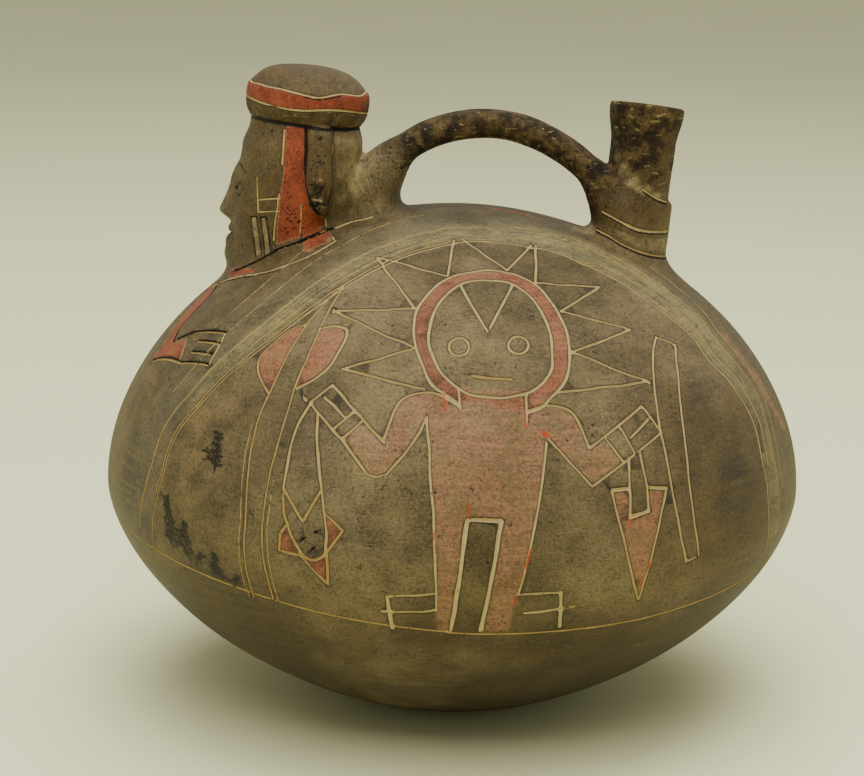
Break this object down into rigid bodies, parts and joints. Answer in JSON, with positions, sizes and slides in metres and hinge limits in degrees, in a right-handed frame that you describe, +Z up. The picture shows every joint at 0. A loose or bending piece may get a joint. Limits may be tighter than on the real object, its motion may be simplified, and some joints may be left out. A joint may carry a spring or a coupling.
{
  "type": "bridge and spout bottle",
  "caption": "Squat round fired clay bottle with an incised and painted wall, a modelled capped head, and an arched strap joining it to a leaning tubular spout.",
  "frame": {"origin": "centre of the flat underside", "axes": "+Z up; the modelled head looks along -X and the spout stands towards +X; the drawn panel faces -Y"},
  "size_m": [0.19, 0.19, 0.1742],
  "materials": {
    "burnished_clay": "burnished dark olive brown fired clay, incised lines filled cream, dull red paint"
  },
  "bodies": {
    "root": {"bottle": "burnished_clay"}
  },
  "joints": []
}
